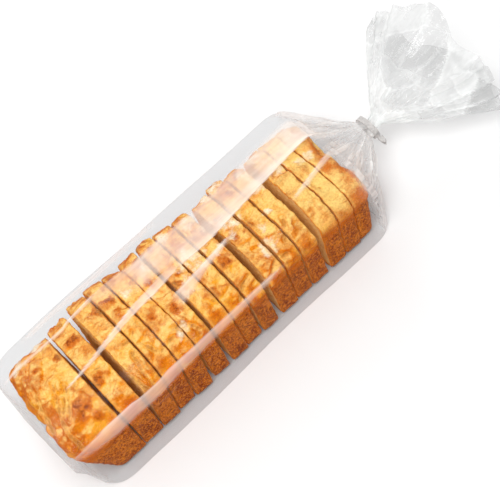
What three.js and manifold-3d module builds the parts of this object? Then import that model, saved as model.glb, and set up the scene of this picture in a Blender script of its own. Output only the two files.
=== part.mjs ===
// Sliced tin loaf in a clear bread bag, lying on its flat base, with the neck gathered in a twist tie.
// Millimetres, +Z up, +X along the loaf towards the neck, -Y the front. The bag is one solid out to its film.
import * as THREE from "three";
import { ParametricGeometry } from "three/addons/geometries/ParametricGeometry.js";
import { mergeVertices } from "three/addons/utils/BufferGeometryUtils.js";
import Module from "manifold-3d";

// Driving dimensions. The closed end of the bag is at X 0 and the loaf lies just inside it.
const loafLength = 290;
const loafWidth = 94;
const tinHeight = 50; // the loaf's straight sides, below its domed top
const endSlack = 4; // from the loaf's end to the film
const frontSlack = 8; // from the loaf's side to the film
const backSlack = 9; // the film hangs looser behind
const neckRun = 44; // from the loaf's last slice to the middle of the tie
const waistHalfWidth = 10;
const waistHalfHeight = 6.5;
const waistHeight = 39;
const waistBack = 4; // the waist lies this far behind the loaf's middle
const waistLength = 7;
const flareLength = 92;
const flareHalfWidth = 62;
const flareHalfHeight = 37;
const flareRise = 7; // the mouth's middle above the waist's
const flareSwing = 4; // and behind it
const tieWidth = 4.5;
const tieThickness = 1;
const runningGap = 0.3;

// The body's section as flat facets of taut film. Each is [angle from +Y towards +Z in degrees, distance
// from the section's middle], so the list goes from the back wall over the top to the front wall.
const sectionHeight = 40; // height of the section's middle above the base
const facets = [
  [0, loafWidth / 2 + backSlack],
  [66, 56],
  [90, 51],
  [143, 58],
  [180, loafWidth / 2 + frontSlack],
  [270, sectionHeight + 3],
].map(([degrees, distance]) => [THREE.MathUtils.degToRad(degrees), distance]);
const facetSharpness = 22; // a higher power gives tighter folds between the facets
const heightDrop = 12; // the loaf and its film are this much lower at the neck end
const baseInset = 9; // the closed end leans in towards the base by this much, as the tin's did

// How the bag runs along X.
const cornerLength = 24; // rounding at the closed end
const bodyEnd = endSlack + loafLength + 1;
const shoulderLength = 14; // rounding at the neck end
const shoulderFill = 0.94; // the neck starts at this share of the whole section
const waistMiddle = endSlack + loafLength + neckRun;
const waistStart = waistMiddle - waistLength / 2;
const waistEnd = waistMiddle + waistLength / 2;
const cornerRows = 6;
const bodyRows = 10;
const shoulderRows = 2;
const neckRows = 9;
const flareRows = 9;
const mouthRows = 3;
const pointsRound = 80;
const endFill = 0.76; // the closed end's flat face as a share of the whole section

// Folds. Counts go round the bag once and depths are shares of the radius.
const neckPleats = 18;
const neckPleatDepth = 0.09;
const flareRuffles = 6;
const flareRuffleDepth = 0.17;
const ruffleTurn = 0.9; // radians
const mouthPoints = 7;
const mouthPointLength = 5;
const mouthPointTurn = 0.4; // radians
const mouthSides = 20; // the mouth's two sides end this much short of its middle
const mouthRecess = 16;
const flareCurve = 1.35; // 1 opens the flare in a straight cone, more opens it sooner
const lowestFilm = 1; // the neck and flare stay this far above the base

const mix = THREE.MathUtils.lerp;
const clamp = THREE.MathUtils.clamp;
const ease = (t) => t * t * (3 - 2 * t);

// Distance from the middle of the body's section to its film in the direction of theta.
function facetRadius(theta) {
  let sum = 0;
  for (const [angle, distance] of facets) {
    const facing = Math.cos(theta - angle);
    if (facing > 0) sum += (facing / distance) ** facetSharpness;
  }
  return sum ** (-1 / facetSharpness);
}

// Each ring is a function from theta to [x, y, z]. In the body, spread scales the section.
function bodyRing(x, spread) {
  const along = clamp(x / bodyEnd, 0, 1);
  return (theta) => {
    const radius = facetRadius(theta) * spread;
    const up = Math.max(radius * Math.sin(theta), -sectionHeight);
    const height = sectionHeight + up - heightDrop * along * Math.max(0, up / sectionHeight);
    const inset = baseInset * clamp(1 - height / tinHeight, 0, 1) * (1 - along);
    return [x + inset, radius * Math.cos(theta), height];
  };
}

function neckRing(share) {
  const lastBodyRing = bodyRing(bodyEnd, shoulderFill);
  const pleat = neckPleatDepth * Math.sin(Math.PI * share);
  return (theta) => {
    const [bodyX, bodyY, bodyZ] = lastBodyRing(theta);
    const middle = mix(sectionHeight, waistHeight, share);
    const fold = 1 + pleat * Math.cos(neckPleats * theta);
    const x = mix(bodyX, waistStart, share);
    const y = mix(bodyY * fold, waistBack + waistHalfWidth * Math.cos(theta), share);
    const z = middle + (mix(bodyZ, waistHeight + waistHalfHeight * Math.sin(theta), share) - middle) * fold;
    return [x, y, Math.max(z, share > 0 ? lowestFilm : 0)];
  };
}

// The flare opens from the waist to the mouth, and reach scales its rings towards their middle.
function flareRing(share, reach = 1) {
  const open = 1 - (1 - share) ** flareCurve;
  const across = mix(waistHalfWidth, flareHalfWidth, open);
  const upright = mix(waistHalfHeight, flareHalfHeight, open);
  return (theta) => {
    const ruffle = 1 + flareRuffleDepth * share * Math.cos(flareRuffles * theta + ruffleTurn);
    const point = mouthPointLength * Math.cos(mouthPoints * theta + mouthPointTurn);
    const shortfall = mouthSides * Math.cos(theta) ** 2;
    const x = waistEnd + share * (flareLength + (point - shortfall) * reach);
    const y = waistBack + flareSwing * share + across * ruffle * reach * Math.cos(theta);
    const z = waistHeight + flareRise * share + upright * ruffle * reach * Math.sin(theta);
    return [x, y, Math.max(z, lowestFilm)];
  };
}

// The bag as rings from the middle of its closed end to the middle of its mouth.
function bagRings() {
  const rings = [bodyRing(0, 0), bodyRing(0, endFill / 2), bodyRing(0, endFill)];
  for (let i = 1; i < cornerRows; i++) {
    const turn = ((i / cornerRows) * Math.PI) / 2;
    rings.push(bodyRing(cornerLength * (1 - Math.cos(turn)), mix(endFill, 1, Math.sin(turn))));
  }
  const shoulderStart = bodyEnd - shoulderLength;
  for (let i = 0; i < bodyRows; i++) rings.push(bodyRing(mix(cornerLength, shoulderStart, i / bodyRows), 1));
  for (let i = 0; i < shoulderRows; i++) {
    const turn = ((i / shoulderRows) * Math.PI) / 2;
    const spread = mix(shoulderFill, 1, Math.cos(turn));
    rings.push(bodyRing(shoulderStart + shoulderLength * Math.sin(turn), spread));
  }
  for (let i = 0; i <= neckRows; i++) rings.push(neckRing(i / neckRows));
  for (let i = 0; i <= flareRows; i++) rings.push(flareRing(i / flareRows));
  for (let i = 1; i <= mouthRows; i++) {
    const inward = flareRing(1, 1 - i / mouthRows);
    const recess = mouthRecess * ease(i / mouthRows);
    rings.push((theta) => {
      const [x, y, z] = inward(theta);
      return [x - recess, y, z];
    });
  }
  return rings;
}

function makeBag() {
  const rings = bagRings();
  const lastRow = rings.length - 1;
  const onBag = (around, along, target) => {
    const theta = around * 2 * Math.PI;
    target.set(...rings[Math.round(along * lastRow)](theta));
  };
  return new ParametricGeometry(onBag, pointsRound, lastRow);
}

// The twist tie: a flat band round the waist, a twisted stem at the front and two pointed ends.
const wasm = await Module();
wasm.setup();

function solidOf(geometry) {
  const bare = geometry.clone().deleteAttribute("normal").deleteAttribute("uv");
  const merged = mergeVertices(bare, 1e-4);
  return new wasm.Manifold(
    new wasm.Mesh({
      numProp: 3,
      vertProperties: merged.attributes.position.array,
      triVerts: new Uint32Array(merged.index.array),
    }),
  );
}

function geometryOf(solid) {
  const { vertProperties, triVerts } = solid.getMesh();
  const geometry = new THREE.BufferGeometry();
  geometry.setAttribute("position", new THREE.BufferAttribute(vertProperties, 3));
  geometry.setIndex(new THREE.BufferAttribute(triVerts, 1));
  geometry.computeVertexNormals();
  return geometry;
}

const bandSegments = 48;
const bandHalfWidth = waistHalfWidth + runningGap;
const bandHalfHeight = waistHalfHeight + runningGap;
const stemLength = 4;
const stemOverlap = 0.6; // how far the stem reaches into the band and the ends into the stem
const endLength = 7;
const splay = THREE.MathUtils.degToRad(24); // of the ribbon's upper end
const twistWaist = 0.75; // the stem's narrowest width as a share of the ribbon's

// A closed oval band round the X axis with a rectangular section.
function makeBand() {
  const oval = (halfWidth, halfHeight) => {
    const shape = new THREE.Shape();
    return shape.absellipse(0, 0, halfHeight, halfWidth, 0, 2 * Math.PI);
  };
  const band = oval(bandHalfWidth + tieThickness, bandHalfHeight + tieThickness);
  band.holes.push(oval(bandHalfWidth, bandHalfHeight));
  const settings = { depth: tieWidth, bevelEnabled: false, curveSegments: bandSegments };
  return new THREE.ExtrudeGeometry(band, settings).translate(0, 0, -tieWidth / 2).rotateY(Math.PI / 2);
}

// Both ends of the ribbon lie on each other and turn about the stem's own line.
function makeStem() {
  const stem = new THREE.BoxGeometry(tieWidth, stemLength, 2 * tieThickness, 2, 14, 1);
  const spots = stem.attributes.position;
  const spot = new THREE.Vector3();
  for (let i = 0; i < spots.count; i++) {
    spot.fromBufferAttribute(spots, i);
    const share = spot.y / stemLength + 0.5;
    spot.x *= mix(twistWaist, 1, Math.abs(2 * share - 1));
    spot.applyAxisAngle(new THREE.Vector3(0, 1, 0), Math.PI * share);
    spots.setXYZ(i, spot.x, spot.y, spot.z);
  }
  return stem;
}

// One pointed end of the ribbon, from the stem's tip outwards along -Y. Side is 1 for the upper end.
function makeEnd(angle, side) {
  const half = tieWidth / 2;
  const outline = new THREE.Shape();
  outline.moveTo(-half, stemOverlap);
  outline.lineTo(half, stemOverlap);
  outline.lineTo(half * 0.7, -endLength * 0.6);
  outline.lineTo(-half * 0.4, -endLength);
  outline.lineTo(-half, -endLength * 0.5);
  outline.closePath();
  const end = new THREE.ExtrudeGeometry(outline, { depth: tieThickness, bevelEnabled: false });
  return end.translate(0, 0, side > 0 ? 0 : -tieThickness).rotateX(angle);
}

function makeTie() {
  const stemStart = stemOverlap - bandHalfWidth - tieThickness;
  const stemTip = stemStart - stemLength;
  const pieces = [
    makeBand(),
    makeStem().translate(0, stemStart - stemLength / 2, 0),
    makeEnd(splay, 1).translate(0, stemTip, 0),
    makeEnd(-splay / 2, -1).translate(0, stemTip, 0),
  ];
  return geometryOf(pieces.map(solidOf).reduce((whole, piece) => whole.add(piece)));
}

const filmMaterial = new THREE.MeshStandardMaterial({ color: 0xdfe1e4, roughness: 0.15, metalness: 0 });
const tieMaterial = new THREE.MeshStandardMaterial({ color: 0xb9b0a8, roughness: 0.5, metalness: 0 });

const bag = new THREE.Mesh(makeBag(), filmMaterial);
bag.name = "bag";

const twistTie = new THREE.Mesh(makeTie(), tieMaterial);
twistTie.name = "twist_tie";
twistTie.position.set(waistMiddle, waistBack, waistHeight);

// The origin is under the middle of the whole.
const whole = new THREE.Group();
whole.add(bag, twistTie);
const bounds = new THREE.Box3().setFromObject(whole);
const middle = bounds.getCenter(new THREE.Vector3());
whole.position.set(-middle.x, -middle.y, -bounds.min.z);

export default whole;
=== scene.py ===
import math

import bpy
import numpy as np
from mathutils import Matrix, Vector, noise
from mathutils.bvhtree import BVHTree


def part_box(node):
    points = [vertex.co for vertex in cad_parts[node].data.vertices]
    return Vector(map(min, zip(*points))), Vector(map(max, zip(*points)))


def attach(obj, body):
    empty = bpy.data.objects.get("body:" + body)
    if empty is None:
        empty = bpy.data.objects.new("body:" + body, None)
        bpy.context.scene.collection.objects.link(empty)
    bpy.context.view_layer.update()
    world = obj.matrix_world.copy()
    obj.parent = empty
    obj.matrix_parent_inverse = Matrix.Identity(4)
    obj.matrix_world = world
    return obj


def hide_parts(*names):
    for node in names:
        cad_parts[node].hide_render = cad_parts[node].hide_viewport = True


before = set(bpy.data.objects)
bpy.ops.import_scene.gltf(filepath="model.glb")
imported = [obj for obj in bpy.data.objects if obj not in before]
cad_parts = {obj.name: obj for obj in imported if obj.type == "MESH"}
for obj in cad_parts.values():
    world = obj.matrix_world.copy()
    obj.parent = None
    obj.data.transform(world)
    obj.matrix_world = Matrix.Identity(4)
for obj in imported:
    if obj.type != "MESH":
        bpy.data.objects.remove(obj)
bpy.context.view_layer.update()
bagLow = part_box("bag")[0]
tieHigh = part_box("twist_tie")[1]
mm = 0.001
axisHeight = 40 * mm  # the height that angles about the loaf and the bag are measured from

# the loaf's sizes, and where it lies from the bag's closed end and the tie
loaf = {
    "endSlack": 6.3 * mm,  # from the bag's closed end to the loaf
    "tieToMiddle": 15.3 * mm,  # from the tie's back to the loaf's middle line
    "width": 94 * mm,
    "baseWidth": 88 * mm,
    "tinHeight": 50 * mm,
    "domeStart": 57 * mm,
    "domeHeight": 86.5 * mm,
    "domeBulge": 1.032,  # the dome's widest line as a share of the width
    "domeLength": 1.004,  # the dome's length at its foot as a share of the block's
    "domeTaper": 0.085,  # how much shorter it gets towards the top
    "neckDrop": 0.70,  # the dome's rise at the neck end as a share of the other end's
    "rearSlant": 6 * mm,  # how much shorter the back of the closed end's heel is
    "leftInset": 17 * mm,  # how far each end leans in towards the base
    "rightInset": 1.5 * mm,
    "lift": 0.4 * mm,  # the film under the loaf
}
# every piece in turn from the closed end: thickness and gap before it in mm, lean in degrees,
# step to the back in mm, and its height and width as shares of the uncut loaf's
slices = [
    (44.0, 0.0, -0.6, 0.0, 0.995, 0.98),
    (17.6, 0.6, 1.2, 0.5, 0.985, 0.99),
    (16.0, 0.9, 4.4, -0.2, 1.01, 1.01),
    (14.9, 1.1, 4.7, 0.9, 1.005, 1.015),
    (15.7, 1.3, 4.6, -0.4, 1.01, 1.005),
    (14.6, 3.9, 2.0, 0.6, 1.02, 1.015),
    (15.0, 4.1, 1.1, 0.0, 1.015, 1.01),
    (14.6, 0.5, 1.7, 0.8, 1.005, 1.0),
    (14.2, 2.2, 1.4, -0.3, 0.995, 0.99),
    (15.4, 5.2, 1.8, 0.2, 0.965, 0.965),
    (14.2, 1.1, 2.6, 0.7, 0.975, 0.975),
    (14.6, 1.5, 2.6, -0.2, 0.97, 0.97),
    (15.0, 4.0, 4.4, -0.6, 0.96, 0.955),
    (14.0, 1.3, 4.4, -0.9, 0.955, 0.955),
    (17.5, 1.0, 4.3, -0.3, 0.95, 0.95),
]
loafStart = bagLow.x + loaf["endSlack"]
loafMiddle = tieHigh.y - loaf["tieToMiddle"]
blankLength = sum(s[0] for s in slices) * mm
loafLength = sum(s[0] + s[1] for s in slices) * mm

# camera first: above the front of the loaf and a little towards its closed end, tipped on its side
view = {
    "azimuth": -13.5,
    "elevation": 57,
    "distance": 1.15,
    "roll": -31.9,
    "lens": 109.6,
    "target": Vector((loafStart + 203.2 * mm, loafMiddle, 40 * mm)),
}


def makeCamera():
    azimuth, elevation = math.radians(view["azimuth"]), math.radians(view["elevation"])
    level = math.cos(elevation)
    back = Vector((math.sin(azimuth) * level, -math.cos(azimuth) * level, math.sin(elevation)))
    bpy.ops.object.camera_add(location=view["target"] + back * view["distance"])
    camera = bpy.context.object
    camera.name = "camera"
    roll = Matrix.Rotation(math.radians(view["roll"]), 4, "Z")
    turn = (-back).to_track_quat("-Z", "Y").to_matrix().to_4x4() @ roll
    camera.rotation_euler = turn.to_euler()
    camera.data.lens = view["lens"]
    camera.data.clip_start = 0.01
    bpy.context.scene.camera = camera


# small helpers
def takeUp(*pieces):
    if bpy.context.object and bpy.context.object.mode != "OBJECT":
        bpy.ops.object.mode_set(mode="OBJECT")
    bpy.ops.object.select_all(action="DESELECT")
    for piece in pieces:
        piece.select_set(True)
    bpy.context.view_layer.objects.active = pieces[0]


def selectParts(piece, kind, test):
    # selects the verts, edges or faces of the piece in edit mode that pass the test
    bpy.ops.mesh.select_all(action="DESELECT")
    bpy.ops.mesh.select_mode(type=kind)
    bpy.ops.object.mode_set(mode="OBJECT")
    data = piece.data
    parts = {"VERT": data.vertices, "EDGE": data.edges, "FACE": data.polygons}[kind]
    for part in parts:
        part.select = bool(test(part))
    bpy.ops.object.mode_set(mode="EDIT")


def applyModifier(piece, kind, **settings):
    modifier = piece.modifiers.new(kind.lower(), kind)
    for name, value in settings.items():
        setattr(modifier, name, value)
    takeUp(piece)
    bpy.ops.object.modifier_apply(modifier=modifier.name)


def storeValues(piece, **named):
    for name, values in named.items():
        attribute = piece.data.attributes.new(name, "FLOAT", "POINT")
        attribute.data.foreach_set("value", values.astype(np.float32))


def setGroup(piece, name, weights):
    group = piece.vertex_groups.new(name=name)
    for index, weight in enumerate(weights):
        if weight > 0.01:
            group.add([index], float(weight), "REPLACE")


def spotsOf(piece):
    spots = np.empty(len(piece.data.vertices) * 3)
    piece.data.vertices.foreach_get("co", spots)
    return spots.reshape(-1, 3)


def smoothStep(low, high, value):
    share = np.clip((value - low) / (high - low), 0, 1)
    return share * share * (3 - 2 * share)


# how the bread is roughened: the size of each noise and the height of its relief
breadRelief = {
    "lumps": (34 * mm, 8 * mm),
    "knobs": (11 * mm, 4.6 * mm),
    "creases": (42 * mm, 1.5 * mm),
    "tinSide": (22 * mm, 1.2 * mm),
    "crustGrain": (5 * mm, 1.2 * mm),
    "crustGrit": (1.8 * mm, 0.4 * mm),
    "crumbHoles": (2.6 * mm, 1.1 * mm),
}
breadMesh = {
    "cornerBevel": 8 * mm,
    "baseBevel": 4.5 * mm,
    "blankVoxel": 1.5 * mm,
    "sliceVoxel": 1.0 * mm,
}


def makeTextures():
    for name, (size, _) in breadRelief.items():
        if name == "creases":
            texture = bpy.data.textures.new(name, "DISTORTED_NOISE")
            texture.noise_basis = "VORONOI_CRACKLE"
            texture.noise_distortion = "BLENDER_ORIGINAL"
            texture.distortion = 0.8
            texture.use_color_ramp = True
            low, high = texture.color_ramp.elements
            low.position, low.color = 0.0, (0, 0, 0, 1)
            high.position, high.color = 0.22, (1, 1, 1, 1)
        else:
            texture = bpy.data.textures.new(name, "CLOUDS")
            texture.noise_depth = 2
            texture.noise_type = "HARD_NOISE" if name == "crumbHoles" else "SOFT_NOISE"
        texture.noise_scale = size


def roughen(piece, name, group="", middle=0.5):
    applyModifier(piece, "DISPLACE", texture=bpy.data.textures[name], strength=breadRelief[name][1],
                  mid_level=middle, texture_coords="GLOBAL", vertex_group=group)


def raiseDome(blank, middle):
    # the block's top drawn up ring by ring, rounder across than along
    start, tin = loaf["domeStart"], loaf["tinHeight"]
    rings = [(start, loaf["domeBulge"], loaf["domeLength"])]
    for degrees in (16, 32, 48, 64, 78):
        turn = math.radians(degrees)
        high = start + (loaf["domeHeight"] - start) * math.sin(turn) ** 0.85
        wide = loaf["domeBulge"] * math.cos(turn) ** 0.72
        long = loaf["domeLength"] - loaf["domeTaper"] * (1 - math.cos(turn)) ** 1.2
        rings.append((high, wide, long))
    lastHigh, lastWide, lastLong = tin, 1, 1
    for high, wide, long in rings:
        bpy.ops.mesh.extrude_region_move(TRANSFORM_OT_translate={"value": (0, 0, high - lastHigh)})
        bpy.ops.transform.resize(value=(long / lastLong, wide / lastWide, 1),
                                 center_override=(middle, loafMiddle, high))
        lastHigh, lastWide, lastLong = high, wide, long


# the uncut loaf: a tapered tin block whose top is drawn up into a dome, then roughened
def makeBlank():
    middle = loafStart + blankLength / 2
    tin = loaf["tinHeight"]
    centre = (middle, loafMiddle, tin / 2)
    bpy.ops.mesh.primitive_cube_add(size=1, location=centre)
    blank = bpy.context.object
    blank.name = "loaf_blank"
    takeUp(blank)
    bpy.ops.object.transform_apply(location=True, rotation=False, scale=False)
    bpy.ops.object.mode_set(mode="EDIT")
    bpy.ops.mesh.select_all(action="SELECT")
    bpy.ops.transform.resize(value=(blankLength, loaf["width"], tin), center_override=centre)
    selectParts(blank, "FACE", lambda f: f.normal.z < -0.5)
    taper = loaf["baseWidth"] / loaf["width"]
    bpy.ops.transform.resize(value=(1, taper, 1), center_override=centre)
    for side, inset in ((-1, loaf["leftInset"]), (1, loaf["rightInset"])):
        selectParts(blank, "VERT", lambda v: v.co.z < tin / 2 and (v.co.x - middle) * side > 0)
        bpy.ops.transform.translate(value=(-side * inset, 0, 0))
    selectParts(blank, "FACE", lambda f: f.normal.z > 0.5)
    raiseDome(blank, middle)
    selectParts(blank, "VERT", lambda v: v.co.x < middle and v.co.y > loafMiddle)
    bpy.ops.transform.translate(value=(loaf["rearSlant"], 0, 0))
    selectParts(blank, "VERT", lambda v: v.co.z > tin + mm and v.co.x > middle)
    bpy.ops.transform.resize(value=(1, 1, loaf["neckDrop"]),
                             center_override=(middle, loafMiddle, tin))

    def climbs(edge):
        # an edge that rises, and doesn't run along the loaf
        first, last = (blank.data.vertices[v].co for v in edge.vertices)
        return abs(first.z - last.z) > 2 * mm and abs(first.x - last.x) < 30 * mm

    selectParts(blank, "EDGE", climbs)
    bpy.ops.mesh.bevel(offset=breadMesh["cornerBevel"], segments=4)
    selectParts(blank, "FACE", lambda f: f.normal.z < -0.9)
    bpy.ops.mesh.bevel(offset=breadMesh["baseBevel"], segments=3)
    bpy.ops.object.mode_set(mode="OBJECT")
    applyModifier(blank, "REMESH", mode="VOXEL", voxel_size=breadMesh["blankVoxel"])
    applyModifier(blank, "SMOOTH", factor=0.5, iterations=16)
    high = spotsOf(blank)[:, 2]
    setGroup(blank, "dome", smoothStep(44 * mm, 62 * mm, high))
    roughen(blank, "lumps", "dome")
    roughen(blank, "knobs", "dome")
    roughen(blank, "creases", "dome", 1)
    roughen(blank, "tinSide")
    return blank


def cutSlice(blank, tree, start, thickness):
    # one slice is a copy of the whole, cut off at both sides
    takeUp(blank)
    bpy.ops.object.duplicate(linked=False)
    piece = bpy.context.object
    # an end piece is cut on one side only
    first, last = loafStart + mm, loafStart + blankLength - mm
    cuts = [c for c in ((start, -1), (start + thickness, 1)) if first < c[0] < last]
    bpy.ops.object.mode_set(mode="EDIT")
    for place, side in cuts:
        bpy.ops.mesh.select_all(action="SELECT")
        bpy.ops.mesh.bisect(plane_co=(place, 0, 0), plane_no=(side, 0, 0), use_fill=True,
                            clear_outer=True)
    bpy.ops.object.mode_set(mode="OBJECT")
    applyModifier(piece, "REMESH", mode="VOXEL", voxel_size=breadMesh["sliceVoxel"])
    applyModifier(piece, "SMOOTH", factor=0.5, iterations=2)
    roughen(piece, "crustGrain")
    roughen(piece, "crustGrit")
    depth = np.array([tree.find_nearest(Vector(s))[3] for s in spotsOf(piece)], np.float32)
    setGroup(piece, "crumb", smoothStep(1.5 * mm, 4 * mm, depth))
    roughen(piece, "crumbHoles", "crumb", 0.6)
    piece.vertex_groups.clear()
    spots = spotsOf(piece)
    fromCut = np.full(len(spots), 1.0)
    for place, side in cuts:
        fromCut = np.minimum(fromCut, np.abs(spots[:, 0] - place))
    # the crust along each cut is later painted paler: the cut crust's pale edge, with a painted
    # highlight where it catches the light
    storeValues(piece, depth=depth, rim=np.exp(-(fromCut / (2.2 * mm)) ** 1.5))
    return piece


# what the hands and the oven left on the crust, by mm along the loaf and degrees about its section,
# counted from the back over the top
crustMarks = {
    "creases": [
        [(25, 91), (19, 107), (13, 123), (10, 133), (10, 153)],
        [(31, 99), (25, 115), (17, 126)],
        [(11, 80), (7, 104), (2, 126)],
        [(19, 101), (25, 108), (22, 115), (16, 120)],
        [(48, 105), (60, 112)],
        [(66, 129), (69, 138), (75, 162)],
        [(82, 122), (78, 138), (77, 160)],
        [(81, 111), (88, 113), (92, 108)],
        [(91, 122), (94, 134), (97, 138), (104, 137), (111, 135)],
        [(114, 131), (119, 133), (125, 137), (128, 146)],
        [(165, 152), (173, 144), (180, 142)],
        [(186, 110), (189, 117), (198, 122)],
        [(188, 160), (194, 155), (199, 150), (206, 148), (212, 153)],
        [(218, 143), (221, 139), (225, 134), (228, 126)],
        [(262, 100), (260, 118), (264, 132)],
    ],
    # along, angle, radius in mm
    "scorches": [
        (87, 64, 7), (90, 84, 8), (125, 82, 5), (139, 101, 7), (173, 71, 7), (181, 74, 6),
        (191, 73, 7), (40, 72, 4), (21, 70, 3), (30, 123, 9), (49, 119, 7), (57, 70, 6),
        (174, 119, 6), (192, 104, 6), (109, 111, 4), (152, 133, 6), (126, 120, 4), (96, 66, 5),
        (132, 64, 4), (204, 108, 5), (240, 112, 5), (118, 66, 4), (160, 62, 4), (216, 62, 4),
        (33, 140, 5),
    ],
    "dustings": [
        (134, 65, 12), (158, 90, 14), (168, 94, 12), (140, 118, 10), (204, 137, 9),
        (223, 110, 6), (119, 137, 8), (259, 119, 7), (200, 84, 14), (120, 90, 9), (272, 86, 11),
        (182, 100, 8), (232, 76, 12), (254, 74, 10), (108, 72, 8), (186, 66, 9), (160, 104, 9),
        (175, 104, 8), (192, 101, 8), (146, 105, 6), (213, 120, 6),
    ],
    "mirrorShift": 47,  # the same marks again over the back, moved along by this
    "wrapLength": 285,  # where the moved marks start again from the closed end
    "mmPerDegree": 0.87,
    "creaseDepth": 2.6 * mm,
    "creaseWidth": 1.4,
    "lipPlace": 4.2,  # the raised lip beside a crease
    "lipWidth": 2.0,
    "blister": 0.9 * mm,
    "rimHeight": 47 * mm,
}


def mirroredAngle(angle):
    return 114 - 0.9 * angle


def bothSides(marks):
    # a mark's mirror on the back of the loaf, moved along and wrapped round at the end
    shift, wrap = crustMarks["mirrorShift"], crustMarks["wrapLength"]
    return marks + [((m[0] + shift) % wrap, mirroredAngle(m[1]), *m[2:]) for m in marks]


def lineDistance(along, across, line):
    nearest = np.full(len(along), 1e9)
    for (x0, y0), (x1, y1) in zip(line, line[1:]):
        span = (x1 - x0) ** 2 + (y1 - y0) ** 2
        share = ((along - x0) * (x1 - x0) + (across - y0) * (y1 - y0)) / span
        share = np.clip(share, 0, 1)
        off = np.hypot(along - x0 - share * (x1 - x0), across - y0 - share * (y1 - y0))
        nearest = np.minimum(nearest, off)
    return nearest


def creaseLines():
    # the creases and their mirrors on the back, each angle turned into mm over the crust
    shift, wrap, perDegree = (crustMarks[k] for k in ("mirrorShift", "wrapLength", "mmPerDegree"))
    lines = list(crustMarks["creases"])
    for line in crustMarks["creases"]:
        if line[-1][0] + shift < wrap:
            lines.append([(x + shift, mirroredAngle(a)) for x, a in line])
    return [[(x, a * perDegree) for x, a in line] for line in lines]


def markShare(marks, along, across, wobble, low, high):
    # how strongly any of the round marks covers each spot
    share = np.zeros(len(along))
    for x, angle, radius in bothSides(marks):
        off = np.hypot(along - x, across - angle * crustMarks["mmPerDegree"]) / radius
        share = np.maximum(share, smoothStep(low, high, -(off + wobble)))
    return share


def standsOut(along, angle, reach, crust):
    # how far a spot stands above the crust around it, in mm, by cells of 5 mm and 5 degrees
    cell, margin = 5, 20
    row = ((along + margin) / cell).astype(int)
    column = ((angle % 360) / cell).astype(int)
    total, count = np.zeros((80, 72)), np.zeros((80, 72))
    np.add.at(total, (row[crust], column[crust]), reach[crust])
    np.add.at(count, (row[crust], column[crust]), 1)
    for _ in range(2):
        for axis in (0, 1):
            total = total + np.roll(total, 1, axis) + np.roll(total, -1, axis)
            count = count + np.roll(count, 1, axis) + np.roll(count, -1, axis)
    level = total / np.maximum(count, 1)
    return np.clip((reach - level[row, column]) / mm, -2.5, 2.5)


def bakeCrust(piece):
    # creases cut in, blisters raised, and where scorch and flour lie kept as attributes
    spots = spotsOf(piece)
    along = (spots[:, 0] - loafStart) / mm
    up, back = spots[:, 2] - axisHeight, spots[:, 1] - loafMiddle
    angle = np.degrees(np.arctan2(up, back))
    across = np.where(angle < -90, angle + 360, angle) * crustMarks["mmPerDegree"]
    depth = np.empty(len(spots), np.float32)
    piece.data.attributes["depth"].data.foreach_get("value", depth)
    coarse = np.array([noise.noise(Vector(s) * 160) for s in spots])
    fine = np.array([noise.noise(Vector(s) * 330 + Vector((5, 5, 5))) for s in spots])
    outward = np.zeros(len(spots))
    crease = np.zeros(len(spots))
    for line in creaseLines():
        off = lineDistance(along, across, line) + 1.6 * coarse
        cut = np.exp(-(np.maximum(off, 0) / crustMarks["creaseWidth"]) ** 2)
        cut *= np.clip(0.85 + 0.7 * fine, 0, 1)
        lip = np.exp(-((off - crustMarks["lipPlace"]) / crustMarks["lipWidth"]) ** 2)
        outward += crustMarks["creaseDepth"] * (0.4 * lip - cut) * (0.85 + 0.5 * fine)
        crease = np.maximum(crease, cut)
    scorchWobble = 0.9 * coarse + 0.4 * fine
    scorch = markShare(crustMarks["scorches"], along, across, scorchWobble, -1.35, -0.15)
    dust = markShare(crustMarks["dustings"], along, across, 0.5 * coarse, -1.3, -0.2)
    outward += crustMarks["blister"] * scorch
    # the rim where the dome swells out over the tin's edge, with a groove under it
    high = spots[:, 2] - crustMarks["rimHeight"] - 2.5 * mm * coarse
    swell = np.exp(-((high - 6 * mm) / (5 * mm)) ** 2)
    groove = np.exp(-(high / (1.5 * mm)) ** 2)
    outward += mm * (0.9 * swell - 0.7 * groove)
    outward *= np.exp(-(depth / (3 * mm)) ** 2) * (spots[:, 2] > 6 * mm)
    reach = np.hypot(up, back)
    spots[:, 1] += outward * back / reach
    spots[:, 2] += outward * up / reach
    piece.data.vertices.foreach_set("co", spots.ravel())
    raised = standsOut(along, angle, reach + outward, depth < 1.5 * mm)
    storeValues(piece, crease=crease, scorch=scorch, dust=dust, raised=raised)
    piece.data.update()


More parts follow.
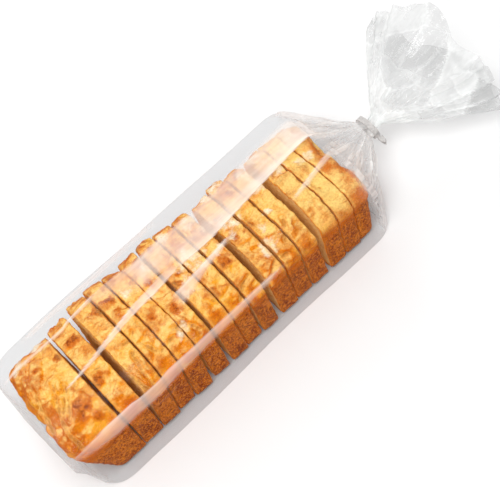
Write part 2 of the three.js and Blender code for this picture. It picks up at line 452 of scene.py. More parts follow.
def makeSlices():
    makeTextures()
    blank = makeBlank()
    print("loaf blank", len(blank.data.polygons), "faces")
    spots = [v.co.copy() for v in blank.data.vertices]
    tree = BVHTree.FromPolygons(spots, [tuple(p.vertices) for p in blank.data.polygons])
    bread = breadMaterial()
    names = [f"slice_{number}" for number in range(len(slices))]
    names[0], names[-1] = "heel_closed_end", "heel_neck_end"
    cutAt, placeAt, pieces = loafStart, loafStart, []
    for name, (thickness, gap, lean, step, tall, wide) in zip(names, slices):
        piece = cutSlice(blank, tree, cutAt, thickness * mm)
        piece.name = name
        placeAt += gap * mm
        foot = Vector((cutAt + thickness * mm / 2, loafMiddle - loaf["width"] / 2, 0))
        newFoot = Vector((placeAt + thickness * mm / 2, foot.y + step * mm, 0))
        turn = Matrix.Rotation(math.radians(lean), 4, "Y") @ Matrix.Diagonal((1, wide, tall, 1))
        piece.matrix_world = Matrix.Translation(newFoot) @ turn @ Matrix.Translation(-foot)
        takeUp(piece)
        bpy.ops.object.transform_apply(location=True, rotation=True, scale=True)
        bakeCrust(piece)
        rise = loaf["lift"] - spotsOf(piece)[:, 2].min()
        piece.data.transform(Matrix.Translation((0, 0, rise)))
        bpy.ops.object.shade_smooth()
        piece.data.materials.clear()
        piece.data.materials.append(bread)
        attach(piece, "root")
        pieces.append(piece)
        cutAt += thickness * mm
        placeAt += thickness * mm
    bpy.data.objects.remove(blank)
    print("slices", len(pieces))
    return pieces


# material building blocks
def startMaterial(name):
    material = bpy.data.materials.new(name)
    material.use_nodes = True
    tree = material.node_tree
    tree.nodes.clear()
    return material, tree


def addNode(tree, kind, inputs=None, **settings):
    node = tree.nodes.new(kind)
    for name, value in settings.items():
        setattr(node, name, value)
    for name, value in (inputs or {}).items():
        socket = node.inputs[name]
        if isinstance(value, bpy.types.NodeSocket):
            tree.links.new(value, socket)
        else:
            socket.default_value = value
    return node


def finishMaterial(tree, shader):
    output = addNode(tree, "ShaderNodeOutputMaterial")
    tree.links.new(shader.outputs[0], output.inputs[0])


def attributeOf(tree, name):
    return addNode(tree, "ShaderNodeAttribute", attribute_name=name).outputs["Fac"]


def noiseOf(tree, vector, scale, detail=3, rough=0.55, distortion=0.0):
    inputs = {"Vector": vector, "Scale": scale, "Detail": detail, "Roughness": rough}
    node = addNode(tree, "ShaderNodeTexNoise", {**inputs, "Distortion": distortion})
    return node.outputs["Fac"]


def stepOf(tree, value, low, high, toLow=0.0, toHigh=1.0):
    inputs = {"Value": value, "From Min": low, "From Max": high, "To Min": toLow, "To Max": toHigh}
    node = addNode(tree, "ShaderNodeMapRange", inputs, interpolation_type="SMOOTHSTEP")
    return node.outputs["Result"]


def mathOf(tree, operation, a, b=0.0, c=0.0):
    return addNode(tree, "ShaderNodeMath", {0: a, 1: b, 2: c}, operation=operation).outputs[0]


def mixOf(tree, share, a, b, blend="MIX"):
    node = tree.nodes.new("ShaderNodeMix")
    node.data_type = "RGBA"
    node.blend_type = blend
    for socket, value in ((node.inputs[0], share), (node.inputs[6], a), (node.inputs[7], b)):
        if isinstance(value, bpy.types.NodeSocket):
            tree.links.new(value, socket)
        else:
            socket.default_value = value if isinstance(value, float) else (*value, 1)
    return node.outputs[2]


def rampOf(tree, value, stops):
    node = addNode(tree, "ShaderNodeValToRGB", {"Fac": value})
    ramp = node.color_ramp
    while len(ramp.elements) < len(stops):
        ramp.elements.new(0.5)
    for element, (place, colour) in zip(ramp.elements, stops):
        element.position = place
        element.color = (*colour, 1)
    return node.outputs["Color"]


breadLook = {
    "domeDark": (0.61, 0.125, 0.004),
    "domeGold": (0.86, 0.245, 0.005),
    "domePale": (0.97, 0.43, 0.030),
    "scorch": (0.24, 0.04, 0.005),
    "flour": (0.97, 0.83, 0.62),
    "creasePale": (0.94, 0.60, 0.17),
    "sideDark": (0.20, 0.032, 0.003),
    "side": (0.42, 0.076, 0.004),
    "sidePale": (0.76, 0.225, 0.014),
    "crumb": (0.96, 0.68, 0.28),
    "poreShadeAndCrumbTone": (0.80, 0.44, 0.13),
    "crumbGlow": (0.50, 0.17, 0.02),  # the light that seeps through the crumb
    "glowStrength": 0.045,
    "cream": (0.99, 0.66, 0.21),
    "creaseShade": (0.50, 0.17, 0.018),
    "grainDark": (0.50, 0.44, 0.38),
    "crustRoughness": 0.58,
    "crumbRoughness": 0.9,
    # how fine each pattern is: the larger, the finer
    "blotchScale": 44,
    "mottleScale": 110,
    "toastScale": 50,
    "freckleScale": 330,
    "flourScale": 120,
    "sideScale": 80,
    "speckScale": 560,
    "waverScale": 60,
    "grainScale": 700,
    "poreScale": 420.0,
    "crumbScale": 300,
}


def breadMaterial():
    look = breadLook
    material, tree = startMaterial("baked_bread")

    def cloud(scale, detail=3, rough=0.55, distortion=0.0):
        return noiseOf(tree, place, look[scale], detail, rough, distortion)

    def fade(value, low, high, toLow=0.0, toHigh=1.0):
        return stepOf(tree, value, low, high, toLow, toHigh)

    def times(a, b):
        return mathOf(tree, "MULTIPLY", a, b)

    def paint(base, share, colour):
        return mixOf(tree, share, base, look[colour])

    place = addNode(tree, "ShaderNodeTexCoord").outputs["Object"]
    names = ("depth", "crease", "scorch", "dust", "raised", "rim")
    depth, crease, scorch, dust, raised, rim = (attributeOf(tree, name) for name in names)
    normal = addNode(tree, "ShaderNodeNewGeometry").outputs["Normal"]
    turned = addNode(tree, "ShaderNodeSeparateXYZ", {0: normal})
    spot = addNode(tree, "ShaderNodeSeparateXYZ", {0: place})
    # the dome: gold blotches, browner on what stands proud, paler in the hollows, and paler on
    # faces turned up: flour dust with painted top light
    blotch = cloud("blotchScale", 5, 0.6, 0.8)
    tone = mathOf(tree, "MULTIPLY_ADD", raised, -0.03, blotch)
    tones = ((0.35, "domeDark"), (0.48, "domeGold"), (0.62, "domePale"))
    dome = rampOf(tree, tone, [(at, look[name]) for at, name in tones])
    mottle = cloud("mottleScale", 6, 0.66, 0.7)
    dome = paint(dome, fade(mottle, 0.50, 0.68, 0.0, 0.6), "domePale")
    dome = paint(dome, fade(mottle, 0.49, 0.31, 0.0, 0.65), "domeDark")
    # faces turned up are painted paler: flour dust, and painted light from above
    flourAndPaintedTopLight = fade(turned.outputs["Z"], 0.62, 1.0, 0.0, 0.9)
    dome = paint(dome, times(flourAndPaintedTopLight, fade(mottle, 0.38, 0.60, 0.35, 1.0)), "cream")
    # paler towards the neck
    neckwards = fade(spot.outputs["X"], 0 * mm, 60 * mm, 0.0, 0.9)
    neckwards = times(neckwards, fade(blotch, 0.36, 0.54, 0.4, 1.0))
    neckwards = times(neckwards, fade(spot.outputs["Z"], 48 * mm, 66 * mm, 0.2, 1.0))
    dome = paint(dome, neckwards, "cream")
    # toasted patches, darker on faces turned to the back, and the scorches
    toastMark = mathOf(tree, "MULTIPLY_ADD", raised, 0.035, cloud("toastScale", 6, 0.66, 0.8))
    dome = paint(dome, fade(toastMark, 0.49, 0.72, 0.0, 0.9), "domeDark")
    # darker where the surface turns to the back
    darkerTurnedBack = times(fade(turned.outputs["Y"], 0.30, 0.75), fade(mottle, 0.38, 0.54, 0.9, 0.35))
    dome = paint(dome, darkerTurnedBack, "domeDark")
    burn = times(scorch, fade(cloud("freckleScale", 4, 0.65), 0.36, 0.64, 1.0, 0.5))
    dome = paint(dome, fade(burn, 0.0, 0.6, 0.0, 0.85), "domeDark")
    dome = paint(dome, fade(burn, 0.52, 1.0, 0.0, 0.85), "scorch")
    dome = paint(dome, fade(crease, 0.03, 0.40, 0.0, 0.4), "creasePale")
    # painted shade in the creases' cores
    dome = paint(dome, fade(crease, 0.45, 0.9, 0.0, 0.6), "creaseShade")
    powder = mathOf(tree, "MULTIPLY_ADD", dust, 0.32, cloud("flourScale", 6, 0.7, 0.6))
    dome = paint(dome, fade(powder, 0.63, 0.92, 0.0, 0.95), "flour")
    # paler along the cut edges: the cut crust's pale edge with a painted highlight
    dome = paint(dome, times(rim, 0.4), "creasePale")
    # the tin side: even red-brown with fine dark and pale specks
    tones = ((0.28, "sideDark"), (0.48, "side"), (0.76, "sidePale"))
    side = rampOf(tree, cloud("sideScale", 5), [(at, look[name]) for at, name in tones])
    specks = cloud("speckScale", 4, 0.7)
    side = paint(side, fade(specks, 0.505, 0.565, 0.0, 0.85), "sidePale")
    side = paint(side, fade(specks, 0.485, 0.42, 0.0, 0.9), "sideDark")
    # paler along the cut edges: the cut crust's pale edge with a painted highlight
    side = paint(side, times(rim, 0.25), "sidePale")
    # a wavering line between the tin side and the dome
    waver = mathOf(tree, "MULTIPLY_ADD", cloud("waverScale", 6, 0.72), 0.034, -0.017)
    line = mathOf(tree, "ADD", spot.outputs["Z"], waver)
    between = paint(side, fade(line, 41 * mm, 51 * mm), "domeDark")
    crust = mixOf(tree, fade(line, 46 * mm, 63 * mm), between, dome)
    grain = cloud("grainScale", 4, 0.7)
    shade = rampOf(tree, grain, [(0.36, look["grainDark"]), (0.60, (1, 1, 1))])
    crust = mixOf(tree, 0.5, crust, shade, "MULTIPLY")
    # the crumb: cream with painted shade in its pores, browner just under the crust
    holes = {"Vector": place, "Scale": look["poreScale"], "Randomness": 1.0}
    pores = addNode(tree, "ShaderNodeTexVoronoi", holes).outputs["Distance"]
    # painted shade in the pores' hollows
    crumb = mixOf(tree, fade(pores, 0.35, 0.1), look["crumb"], look["poreShadeAndCrumbTone"])
    # and the same colour in random patches of darker crumb
    crumb = paint(crumb, fade(cloud("crumbScale", 3), 0.4, 0.62, 0.0, 0.5), "poreShadeAndCrumbTone")
    edge = mathOf(tree, "ADD", depth, times(grain, 1.0 * mm))
    crumb = mixOf(tree, fade(edge, 2.0 * mm, 5 * mm), look["domeGold"], crumb)
    inside = fade(edge, 1.5 * mm, 2.2 * mm)
    colour = mixOf(tree, inside, crust, crumb)
    sheen = {0: inside, 2: look["crustRoughness"], 3: look["crumbRoughness"]}
    rough = addNode(tree, "ShaderNodeMix", sheen, data_type="FLOAT").outputs[0]
    relief = mathOf(tree, "ADD", times(grain, 0.4), times(specks, 0.6))
    relief = mathOf(tree, "ADD", relief, times(mottle, 1.2))
    relief = mathOf(tree, "ADD", relief, times(pores, inside))
    height = {"Strength": 0.6, "Distance": 0.8 * mm, "Height": relief}
    bump = addNode(tree, "ShaderNodeBump", height).outputs[0]
    shader = addNode(tree, "ShaderNodeBsdfPrincipled", {
        "Base Color": colour, "Roughness": rough, "Normal": bump,
        "Specular IOR Level": 0.05, "Emission Color": (*look["crumbGlow"], 1),
        "Emission Strength": times(inside, look["glowStrength"])})
    finishMaterial(tree, shader)
    return material


# the film bag
film = {
    "pointsRound": 320,
    "sharpness": 36,
    # facets of taut film: angle from the back over the top, distance from the axis in mm
    "facets": [
        (0, 56), (62, 58), (84, 51), (99, 50.5), (121, 55.5), (147, 58), (180, 52.5), (270, 43),
    ],
    "heightDrop": 8.5 * mm,
    "baseInset": 9 * mm,
    "cornerLength": 24 * mm,
    "shoulderLength": 14 * mm,
    "endFill": 0.76,
    "shoulderFill": 0.94,
    "bodyLength": 295 * mm,
    "waistRun": 39.5 * mm,
    "waistLength": 7 * mm,
    "waistHalf": (10 * mm, 6.5 * mm),
    "waistHeight": 39 * mm,
    "waistBack": 4 * mm,
    "flareLength": 92 * mm,
    "flareHalf": (65 * mm, 37 * mm),
    "flareRise": 7 * mm,
    "flareSwing": 1 * mm,
    "flareCurve": 1.3,
    "stemShare": 0.07,  # the flare's first stretch, still gathered
    "stemHalf": (7.5 * mm, 5.5 * mm),
    "mouthSides": 20 * mm,
    # folds out of the gathered waist: how many around, how deep, how far they run as a share
    "pleats": [(4, 0.9, 9), (7, 0.9, 4), (12, 0.7, 1.6), (19, 0.55, 0.9), (31, 0.4, 0.5)],
    "neckFold": 0.075,
    "flareFold": 0.06,
    "flareWave": 0.08,
    "lowest": 0.6 * mm,  # the neck and the flare stay this far above the floor
    "clearance": 0.6 * mm,  # between the bread and the film around it
    "crinkle": {
        "end": 0.3,
        "shoulder": 0.28,
        "neckGain": 0.42,
        "waist": 0.8,
        "flare": 0.75,
        "flareLoss": 0.35,
    },
    # how fine the crumpled cells are, coarse and fine
    "flareCells": (25, 62),
    "neckCells": (34, 95),
    "gatherLength": 11 * mm,
    "gatherHaze": 0.18,
    # rows of the mesh along each stretch
    "cornerRows": 10,
    "bodyRows": 140,
    "shoulderRows": 6,
    "neckRows": 45,
    "waistRows": 3,
    "flareRows": 76,
}


flareStart = film["bodyLength"] + film["waistRun"] + film["waistLength"]


def facetRadius(theta, x):
    # distance to the taut film in the direction theta at the place x along the body
    total = np.zeros_like(theta)
    for number, (degrees, distance) in enumerate(film["facets"]):
        # each facet wanders a little in its turn and its distance, but the base lies still
        if degrees != 270:
            degrees += 3.5 * noise.noise(Vector((x * 14, number * 3.1, 0.5)))
            distance += 0.9 * noise.noise(Vector((x * 9, number * 5.7, 9.5)))
        facing = np.maximum(np.cos(theta - math.radians(degrees)), 1e-6)
        total += (facing / (distance * mm)) ** film["sharpness"]
    return total ** (-1 / film["sharpness"])


def bodyRing(theta, x, spread):
    along = min(max(x / film["bodyLength"], 0), 1)
    radius = facetRadius(theta, x) * spread
    up = np.maximum(radius * np.sin(theta), -axisHeight)
    high = axisHeight + up - film["heightDrop"] * along * np.maximum(0, up / axisHeight)
    inset = film["baseInset"] * np.clip(1 - high / loaf["tinHeight"], 0, 1) * (1 - along)
    return np.stack([x + inset, radius * np.cos(theta), high], 1)


def pleats(theta, share, seed):
    # sharp uneven folds that run from the gathered waist into the open film, the fine ones shorter
    total = np.zeros_like(theta)
    for number, (count, weight, reach) in enumerate(film["pleats"]):
        sway = 1.3 * noise.noise(Vector((share * 2.2, number * 2.3, seed)))
        wave = np.sin(count * theta + number * 1.9 + seed + sway)
        total += weight * (1 - 2 * np.abs(wave)) * math.exp(-(share / reach) ** 2)
    return total


def neckRing(theta, share):
    last = bodyRing(theta, film["bodyLength"], film["shoulderFill"])
    waistY, waistZ = film["waistHalf"]
    depth = film["neckFold"] * math.sin(math.pi * (0.04 + 0.96 * share)) ** 0.7
    fold = 1 + depth * pleats(theta, (1 - share) * 0.8, 1.0)
    x = last[:, 0] + (film["bodyLength"] + film["waistRun"] - last[:, 0]) * share
    y = last[:, 1] * fold * (1 - share) + (film["waistBack"] + waistY * np.cos(theta)) * share
    middle = axisHeight + (film["waistHeight"] - axisHeight) * share
    z = last[:, 2] * (1 - share) + (film["waistHeight"] + waistZ * np.sin(theta)) * share
    z = np.maximum(middle + (z - middle) * fold, film["lowest"])
    return np.stack([x, y, z], 1)


def flareRing(theta, share):
    free = max(0, (share - film["stemShare"]) / (1 - film["stemShare"]))
    opening = 1 - (1 - free) ** film["flareCurve"]
    waistY, waistZ = film["stemHalf"]
    wide = waistY + (film["flareHalf"][0] - waistY) * opening
    tall = waistZ + (film["flareHalf"][1] - waistZ) * opening
    fold = 1 + film["flareFold"] * share ** 0.5 * pleats(theta, 0.35 + share, 4.0)
    fold += film["flareWave"] * share * np.cos(5 * theta + 0.9)
    # the mouth's edge: a few points, and its two sides drawn back
    point = 4 * mm * np.cos(4 * theta + 0.9) + 3 * mm * np.cos(7 * theta + 2.2)
    point -= 8 * mm * np.cos(theta - 0.9)
    length = film["flareLength"] + point - film["mouthSides"] * np.cos(theta) ** 2
    y = film["waistBack"] + film["flareSwing"] * share + wide * fold * np.cos(theta)
    z = film["waistHeight"] + film["flareRise"] * share + tall * fold * np.sin(theta)
    return np.stack([flareStart + share * length, y, np.maximum(z, film["lowest"])], 1)


def filmRings():
    # the bag's rings from its closed end to its mouth, and how crumpled the film is at each
    theta = np.linspace(0, 2 * math.pi, film["pointsRound"], endpoint=False)
    corner, fill, crumpled = film["cornerLength"], film["endFill"], film["crinkle"]
    rings, crinkles = [], []

    def add(ring, crinkle):
        rings.append(ring)
        crinkles.append(crinkle)

    for share in (0.02, 0.25, 0.5, 0.75, 1):
        add(bodyRing(theta, 0, fill * share), crumpled["end"])
    count = film["cornerRows"]
    for step in range(1, count):
        turn = step / count * math.pi / 2
        ring = bodyRing(theta, corner * (1 - math.cos(turn)), fill + (1 - fill) * math.sin(turn))
        add(ring, crumpled["end"] * (1 - step / count) ** 2)
    shoulder = film["bodyLength"] - film["shoulderLength"]
    count = film["bodyRows"]
    for step in range(count):
        add(bodyRing(theta, corner + (shoulder - corner) * step / count, 1), 0.0)
    count = film["shoulderRows"]
    for step in range(count):
        turn = step / count * math.pi / 2
        spread = film["shoulderFill"] + (1 - film["shoulderFill"]) * math.cos(turn)
        ring = bodyRing(theta, shoulder + film["shoulderLength"] * math.sin(turn), spread)
        add(ring, crumpled["shoulder"] * (step / count) ** 1.5)
    count = film["neckRows"]
    for step in range(count):
        share = step / count
        add(neckRing(theta, share), crumpled["shoulder"] + crumpled["neckGain"] * share)
    count = film["waistRows"]
    for step in range(count):
        ring = neckRing(theta, 1)
        ring[:, 0] += film["waistLength"] * step / count
        add(ring, crumpled["waist"])
    for step in range(film["flareRows"]):
        share = step / (film["flareRows"] - 1)
        add(flareRing(theta, share), crumpled["flare"] - crumpled["flareLoss"] * share)
    return np.array(rings), np.array(crinkles)


# painted reflections of the soft boxes on the taut film, laid on as milky bands: from and to, each
# by mm along the bag and the two edges' angles, then the strength at both ends, how soft the two
# edges are in degrees, and the lengths of the soft start and end
paintedReflections = [
    ((6, 57.2, 59.2), (94, 56.6, 59.4), (0.5, 0.6), (0.8, 1.2), (2, 1)),
    ((90, 56.5, 61), (142, 58, 86), (0.3, 0.4), (2, 9), (4, 12)),
    ((116, 60, 79), (168, 58, 86), (0.6, 0.6), (5, 6), (16, 8)),
    ((150, 57, 92.2), (190, 57, 91.5), (0.6, 0.68), (5, 1.2), (14, 1)),
    ((187, 57, 91.5), (304, 47, 75), (0.66, 0.86), (5, 1.0), (1, 4)),
    ((36, 106.2, 106.9), (108, 91, 97.6), (0.75, 0.75), (0.8, 1.0), (4, 1)),
    ((106, 91, 97.6), (158, 83, 91.5), (0.75, 0.5), (1, 1), (1, 10)),
    ((134, 111, 121), (197, 102.6, 103.8), (0.6, 0.75), (1.5, 3), (9, 6)),
    ((3, 150, 153), (42, 147.5, 159), (0.25, 0.55), (0.8, 3), (3, 1)),
    ((40, 147.5, 159), (92, 149, 158.5), (0.55, 0.5), (0.7, 4), (1, 1)),
    ((90, 149, 158.5), (214, 152, 153), (0.5, 0.65), (0.7, 3), (1, 20)),
    ((248, 119.5, 121.5), (312, 103, 110), (0.5, 0.55), (1, 1.5), (8, 3)),
    ((32, 37, 41.5), (170, 32, 37.5), (0.5, 0.5), (1, 1.5), (16, 14)),
]


def paintedReflectionBands(along, angle):
    total = np.zeros_like(along)
    for (x0, a0, b0), (x1, a1, b1), (from0, to1), (softA, softB), (lead, tail) in paintedReflections:
        share = np.clip((along - x0) / (x1 - x0), 0, 1)
        edgeA, edgeB = a0 + (a1 - a0) * share, b0 + (b1 - b0) * share
        inside = smoothStep(-softA, softA * 0.4, angle - edgeA)
        inside *= smoothStep(-softB, softB * 0.4, edgeB - angle)
        inside *= smoothStep(-1.5, lead, along - x0) * smoothStep(-1.5, tail, x1 - along)
        # the painted reflection is brightest along the sharper of its two edges
        place = np.clip((angle - edgeA) / (edgeB - edgeA), 0, 1)
        inside *= 0.72 + 0.45 * (1 - place if softA < softB else place) ** 2
        total = np.maximum(total, inside * (from0 + (to1 - from0) * share))
    return total


# how far the bread stands out from the axis is kept in cells along and around it
reachCells = {
    "rows": 160,
    "columns": 120,
    "length": 2 * mm,
    "degrees": 3,
}


def breadReach(pieces):
    rows, columns = reachCells["rows"], reachCells["columns"]
    table = np.zeros((rows, columns))
    for piece in pieces:
        spots = spotsOf(piece)
        up, back = spots[:, 2] - axisHeight, spots[:, 1] - loafMiddle
        row = np.clip((spots[:, 0] - bagLow.x) / reachCells["length"], 0, rows - 1).astype(int)
        column = (np.degrees(np.arctan2(up, back)) % 360 / reachCells["degrees"]).astype(int)
        np.maximum.at(table, (row, column), np.hypot(up, back))
    # the highest of the cells nearby, then smoothed
    grown = table.copy()
    for shiftRow in range(-5, 6):
        for shiftColumn in (-2, -1, 0, 1, 2):
            grown = np.maximum(grown, np.roll(table, (shiftRow, shiftColumn), (0, 1)))
    for _ in range(3):
        grown = (np.roll(grown, 1, 0) + np.roll(grown, -1, 0) + grown) / 3
        grown = (np.roll(grown, 1, 1) + np.roll(grown, -1, 1) + 2 * grown) / 4
    return grown


def reachAt(table, along, angle):
    # the table read between its cells
    columns = reachCells["columns"]
    rowAt = np.clip(along / reachCells["length"] - 0.5, 0, reachCells["rows"] - 1.01)
    columnAt = angle % 360 / reachCells["degrees"] - 0.5
    row, column = np.floor(rowAt).astype(int), np.floor(columnAt).astype(int)
    rowShare, columnShare = rowAt - row, columnAt - column
    left, right = column % columns, (column + 1) % columns
    near = (1 - columnShare) * table[row, left] + columnShare * table[row, right]
    far = (1 - columnShare) * table[row + 1, left] + columnShare * table[row + 1, right]
    return (1 - rowShare) * near + rowShare * far


def makeRoom(rings, angle, pieces):
    # the taut film gives way where the bread stands out
    along, up = rings[:, :, 0], rings[:, :, 2] - axisHeight
    need = reachAt(breadReach(pieces), along, angle) + film["clearance"]
    body = (rings[:, :, 2] > 4 * mm) & (along < film["bodyLength"] + 5 * mm)
    radius = np.hypot(up, rings[:, :, 1])
    grow = np.maximum(np.where(body, need, 0) / np.maximum(radius, 1e-6), 1)
    grow = np.minimum(grow, 1.2)
    rings[:, :, 1] *= grow
    rings[:, :, 2] = axisHeight + up * grow


def crumple(rings, crinkles):
    # crumpled film: flat cells with sharp edges between them, how far each spot is pushed out and
    # how white it
    # is: painted highlights on some cells, and whitening along the creases between them
    push, haze = np.zeros(rings.shape[:2]), np.zeros(rings.shape[:2])
    for row, amount in enumerate(crinkles):
        if amount < 0.1:
            continue
        for column, place in enumerate(rings[row]):
            spot = Vector(place)
            flared = spot.x > flareStart
            scale, fineScale = film["flareCells"] if flared else film["neckCells"]
            near, cell = noise.voronoi(spot * scale)
            nearFine, cellFine = noise.voronoi(spot * fineScale + Vector((3, 1, 2)))
            jog = (near[1] - near[0]) * 8.0 - 3.2 + (nearFine[1] - nearFine[0]) * 1.8 - 0.7
            push[row, column] = jog * mm * amount * (1 if flared else 0.5)
            # cells picked at random carry painted highlights, as the bright facets of the film
            paintedBrightCell = abs(noise.cell(cell[0] * 3.7)) ** 1.5
            paintedBrightCellFine = abs(noise.cell(cellFine[0] * 5.1)) ** 2
            crease = math.exp(-((near[1] - near[0]) / 0.07) ** 2)
            haze[row, column] = amount * (0.03 + 0.75 * paintedBrightCell + 0.35 * paintedBrightCellFine + 0.3 * crease)
    return push, haze


def paintedRidgeHighlights(rings, crinkles):
    # painted highlights along the folds' ridges, laid on as whitening: where the film stands out
    # from its neighbours around the ring
    ridge = np.linalg.norm(rings - rings.mean(1, keepdims=True), axis=2)
    smooth = ridge.copy()
    for _ in range(8):
        smooth = (np.roll(smooth, 3, 1) + np.roll(smooth, -3, 1) + smooth) / 3
    onFlare = smoothStep(-4 * mm, 10 * mm, rings[:, :, 0] - flareStart)
    proud = np.clip((ridge - smooth) / (0.7 * mm), 0, 1) ** 1.5
    return (1.0 - 0.8 * onFlare) * crinkles[:, None] * proud


def makeFilm(pieces):
    rings, crinkles = filmRings()
    rows, around = rings.shape[:2]
    bpy.ops.mesh.primitive_grid_add(x_subdivisions=around, y_subdivisions=rows - 1, size=1)
    bag = bpy.context.object
    bag.name = "film_bag"
    normals = np.cross(np.roll(rings, -1, 1) - np.roll(rings, 1, 1), np.gradient(rings, axis=0))
    normals /= np.maximum(np.linalg.norm(normals, axis=2, keepdims=True), 1e-12)
    push, haze = crumple(rings, crinkles)
    # painted highlights along the fold ridges
    haze += paintedRidgeHighlights(rings, crinkles)
    # the flare greys towards its mouth
    flareRows = film["flareRows"]
    smoke = np.clip(2.2 * (np.arange(rows) - (rows - flareRows)) / (flareRows - 1) - 1.2, 0, 1)
    rings += normals * push[:, :, None]
    angle = np.degrees(np.arctan2(rings[:, :, 2] - axisHeight, rings[:, :, 1]))
    angle = np.where(angle < -90, angle + 360, angle)
    makeRoom(rings, angle, pieces)
    # the painted soft box reflections are laid into the film's milkiness
    haze = np.maximum(haze, paintedReflectionBands(rings[:, :, 0] / mm, angle))
    gathered = (rings[:, :, 0] - flareStart + film["waistLength"] / 2) / film["gatherLength"]
    haze += film["gatherHaze"] * np.exp(-gathered ** 2)
    # the grid's columns go round the bag and its rows along it; its two side edges meet in one seam
    flat = spotsOf(bag)
    column = np.rint((flat[:, 0] + 0.5) * around).astype(int) % around
    row = np.rint((flat[:, 1] + 0.5) * (rows - 1)).astype(int)
    spots = rings[row, column] + np.array((bagLow.x, loafMiddle, 0))
    spots[:, 2] = np.maximum(spots[:, 2], 0.0)
    bag.data.vertices.foreach_set("co", spots.ravel())
    storeValues(bag, haze=haze[row, column], crinkle=crinkles[row], smoke=smoke[row])
    bag.data.update()
    takeUp(bag)
    bpy.ops.object.mode_set(mode="EDIT")
    bpy.ops.mesh.select_all(action="SELECT")
    bpy.ops.mesh.remove_doubles(threshold=0.01 * mm)
    bpy.ops.mesh.normals_make_consistent(inside=False)
    bpy.ops.object.mode_set(mode="OBJECT")
    bpy.ops.object.shade_smooth_by_angle(angle=math.radians(35))
    bag.data.materials.append(filmMaterial())
    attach(bag, "root")
    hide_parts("bag")
    print("film", len(bag.data.polygons), "faces")
    return bag


filmLook = {
    "clear": (0.906, 0.914, 0.919),
    "crinkled": (0.905, 0.905, 0.906),
    "mouth": (0.80, 0.80, 0.80),
    "edgeOn": (0.79, 0.795, 0.80),
    "milkAndGlareWhite": (0.96, 0.97, 0.965),
    "baseHaze": 0.001,
    "stretch": (0.12, 1, 1),  # the slow waves are drawn out along the bag
    "waveScale": 70,
    "wrinkleScale": 170,
    "bumpHeight": 1.5 * mm,
    "glossRoughness": 0.12,
    "edgeGloss": 0.4,
}


def filmMaterial():
    look = filmLook
    material, tree = startMaterial("clear_film")
    place = addNode(tree, "ShaderNodeTexCoord").outputs["Object"]
    crinkle, glareAndMilkiness, smoke = (attributeOf(tree, name) for name in ("crinkle", "haze", "smoke"))
    stretched = {"Vector": place, "Scale": look["stretch"]}
    along = addNode(tree, "ShaderNodeMapping", stretched).outputs[0]
    waves = noiseOf(tree, along, look["waveScale"], 3)
    wrinkles = noiseOf(tree, place, look["wrinkleScale"], 4, 0.6, 1.2)
    crumpled = mathOf(tree, "MULTIPLY", wrinkles, crinkle)
    relief = mathOf(tree, "ADD", crumpled, mathOf(tree, "MULTIPLY", waves, 0.35))
    height = {"Strength": 0.6, "Distance": look["bumpHeight"], "Height": relief}
    bump = addNode(tree, "ShaderNodeBump", height).outputs[0]
    weight = addNode(tree, "ShaderNodeLayerWeight", {"Blend": 0.5, "Normal": bump})
    facing = weight.outputs["Facing"]
    tint = mixOf(tree, stepOf(tree, crinkle, 0.1, 0.5), look["clear"], look["crinkled"])
    tint = mixOf(tree, smoke, tint, look["mouth"])
    tint = mixOf(tree, mathOf(tree, "POWER", facing, 3.0), tint, look["edgeOn"])
    clear = addNode(tree, "ShaderNodeBsdfTransparent", {"Color": tint})
    shine = {"Color": (1, 1, 1, 1), "Roughness": look["glossRoughness"], "Normal": bump}
    gloss = addNode(tree, "ShaderNodeBsdfAnisotropic", shine)
    # more of a mirror the more edge-on the film is
    straightOn = mathOf(tree, "MULTIPLY_ADD", crinkle, 0.055, 0.004)
    mirror = mathOf(tree, "POWER", facing, 6.0)
    mirror = mathOf(tree, "MULTIPLY_ADD", mirror, look["edgeGloss"], straightOn)
    layers = {0: mirror, 1: clear.outputs[0], 2: gloss.outputs[0]}
    # a white milky layer that shows both the film's real milkiness and its painted highlights and
    # reflections
    sheet = addNode(tree, "ShaderNodeMixShader", layers)
    milkAndGlareInputs = {"Color": (*look["milkAndGlareWhite"], 1), "Normal": bump}
    white = addNode(tree, "ShaderNodeBsdfDiffuse", milkAndGlareInputs)
    glow = addNode(tree, "ShaderNodeBsdfTranslucent", milkAndGlareInputs)
    milkAndGlareWhite = addNode(tree, "ShaderNodeMixShader", {0: 0.5, 1: white.outputs[0], 2: glow.outputs[0]})
    uneven = stepOf(tree, noiseOf(tree, along, 130, 4, 0.6), 0.25, 0.7, 0.78, 1.1)
    haze = mathOf(tree, "MULTIPLY_ADD", glareAndMilkiness, uneven, look["baseHaze"])
    layers = {0: haze, 1: sheet.outputs[0], 2: milkAndGlareWhite.outputs[0]}
    finishMaterial(tree, addNode(tree, "ShaderNodeMixShader", layers))
    return material


tieLook = {
    "dark": (0.34, 0.325, 0.315),
    "pale": (0.52, 0.50, 0.485),
    "grainScale": 700,
    "roughness": 0.45,
}


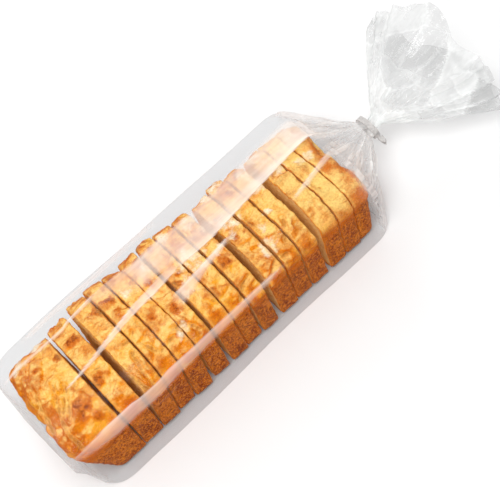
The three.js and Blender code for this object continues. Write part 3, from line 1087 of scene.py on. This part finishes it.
def tieMaterial():
    material, tree = startMaterial("tie_ribbon")
    place = addNode(tree, "ShaderNodeTexCoord").outputs["Object"]
    grain = noiseOf(tree, place, tieLook["grainScale"], 3)
    colour = rampOf(tree, grain, [(0.3, tieLook["dark"]), (0.7, tieLook["pale"])])
    height = {"Strength": 0.4, "Distance": 0.3 * mm, "Height": grain}
    bump = addNode(tree, "ShaderNodeBump", height).outputs[0]
    inputs = {"Base Color": colour, "Roughness": tieLook["roughness"], "Normal": bump}
    finishMaterial(tree, addNode(tree, "ShaderNodeBsdfPrincipled", inputs))
    return material


# the stage: a pale floor, an even pale sky and soft boxes
stage = {
    "floor": (0.73, 0.73, 0.73),
    "skyStrength": 0.69,
    # name, place, size across and up, watts
    "softboxes": [
        ("softboxBack", (0.18, 1.20, 0.75), (1.1, 0.5), 6),
        ("softboxFront", (-0.28, -1.25, 0.42), (0.5, 0.3), 1.2),
        ("softboxTop", (-0.30, -0.50, 1.5), (0.9, 0.9), 20),
    ],
}


def makeStage():
    bpy.ops.mesh.primitive_plane_add(size=8, location=(0, 0, -0.2 * mm))
    floor = bpy.context.object
    floor.name = "floor"
    material, tree = startMaterial("pale_floor")
    grey = (*stage["floor"], 1)
    inputs = {"Base Color": grey, "Roughness": 0.8, "Specular IOR Level": 0.1}
    finishMaterial(tree, addNode(tree, "ShaderNodeBsdfPrincipled", inputs))
    floor.data.materials.append(material)
    world = bpy.data.worlds.new("studio")
    bpy.context.scene.world = world
    world.use_nodes = True
    sky = world.node_tree.nodes["Background"]
    sky.inputs[0].default_value = (1, 1, 1, 1)
    sky.inputs[1].default_value = stage["skyStrength"]
    aim = Vector((loafStart + loafLength / 2, loafMiddle, 60 * mm))
    for name, place, size, watts in stage["softboxes"]:
        spot = Vector(place)
        bpy.ops.object.light_add(type="AREA", location=spot)
        lamp = bpy.context.object
        lamp.name = name
        lamp.rotation_euler = (aim - spot).to_track_quat("-Z", "Y").to_euler()
        lamp.data.shape = "RECTANGLE"
        lamp.data.size, lamp.data.size_y = size
        lamp.data.energy = watts
    bpy.context.scene.view_settings.view_transform = "Standard"
    bpy.context.scene.cycles.transparent_max_bounces = 24


makeCamera()
print("camera set")
makeFilm(makeSlices())
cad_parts["twist_tie"].data.materials[0] = tieMaterial()
makeStage()
print("stage set")
